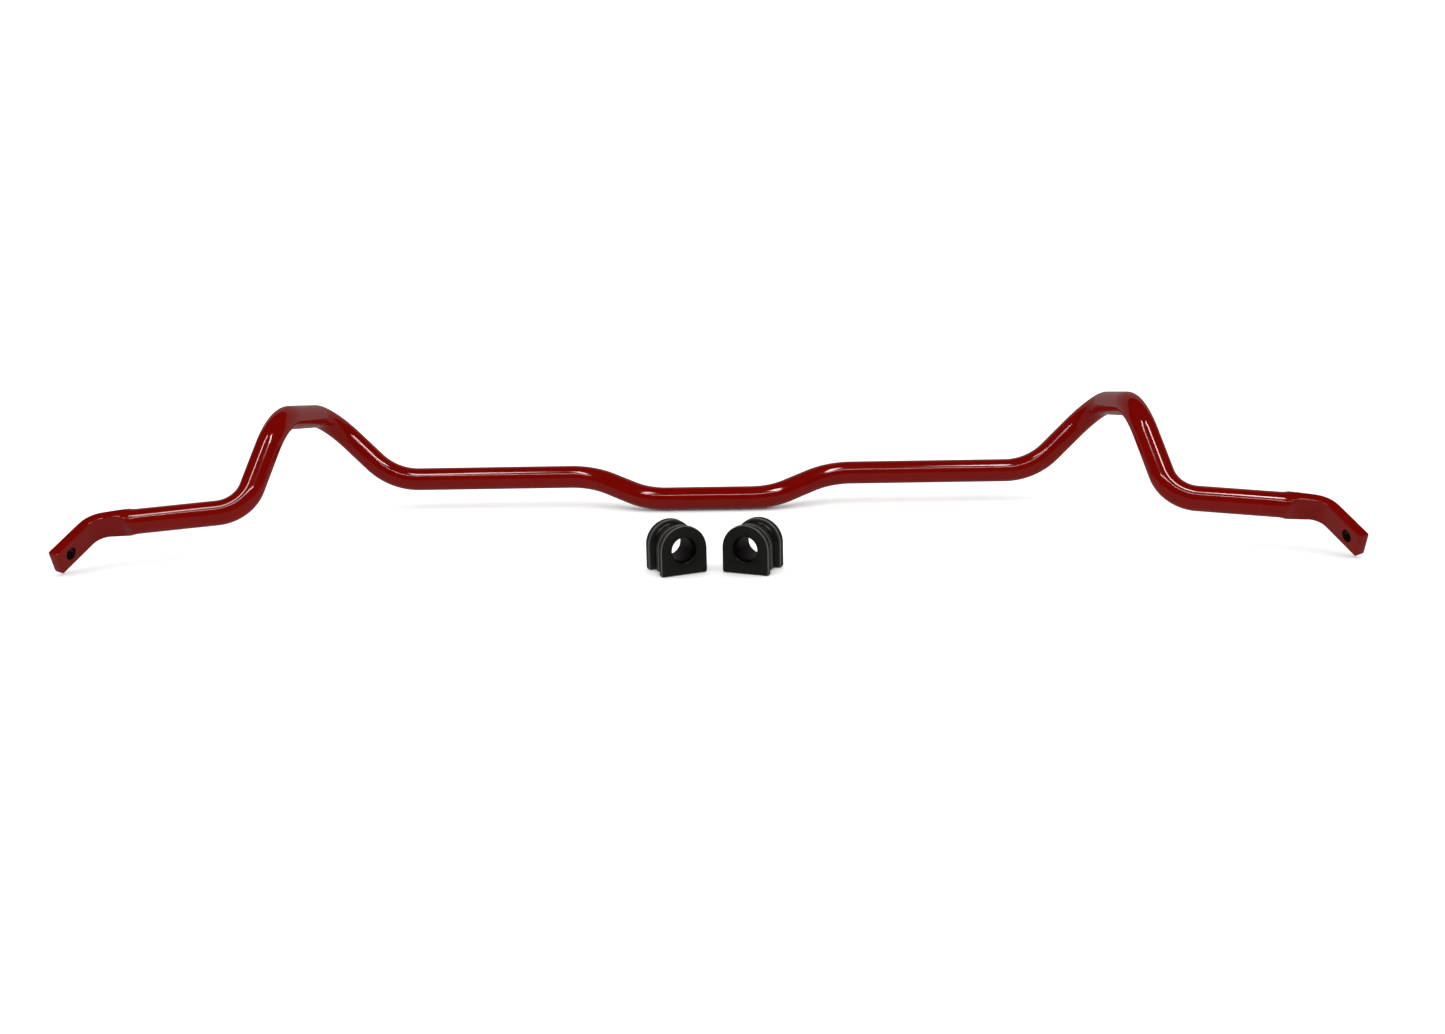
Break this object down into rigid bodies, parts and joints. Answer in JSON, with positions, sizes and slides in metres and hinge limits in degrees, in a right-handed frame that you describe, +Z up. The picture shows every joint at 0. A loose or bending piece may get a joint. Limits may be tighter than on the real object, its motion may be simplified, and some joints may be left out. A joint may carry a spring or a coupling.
{
  "type": "sway bar",
  "caption": "Bent round steel bar with flattened, drilled ends that resists body roll, lying on the floor with its separate black D-shaped bushes standing in front of it.",
  "frame": {"origin": "on the floor, under the middle of the whole object's box", "axes": "+X along the bar to its right end, +Y from the flattened ends to the back of the bar, +Z up"},
  "size_m": [1.0906, 0.2984, 0.1194],
  "materials": {
    "bar_paint": "gloss red powder coat",
    "bush_polyurethane": "satin black polyurethane"
  },
  "bodies": {
    "bar": {"sway_bar": "bar_paint"},
    "left_bush": {"left_bush": "bush_polyurethane"},
    "right_bush": {"right_bush": "bush_polyurethane"}
  },
  "joints": [
    {"name": "left_bush_lift", "type": "slide", "parent": "bar", "child": "left_bush", "axis": [0, 0, 1], "range_m": [0, 0.12]},
    {"name": "right_bush_lift", "type": "slide", "parent": "bar", "child": "right_bush", "axis": [0, 0, 1], "range_m": [0, 0.12]}
  ]
}
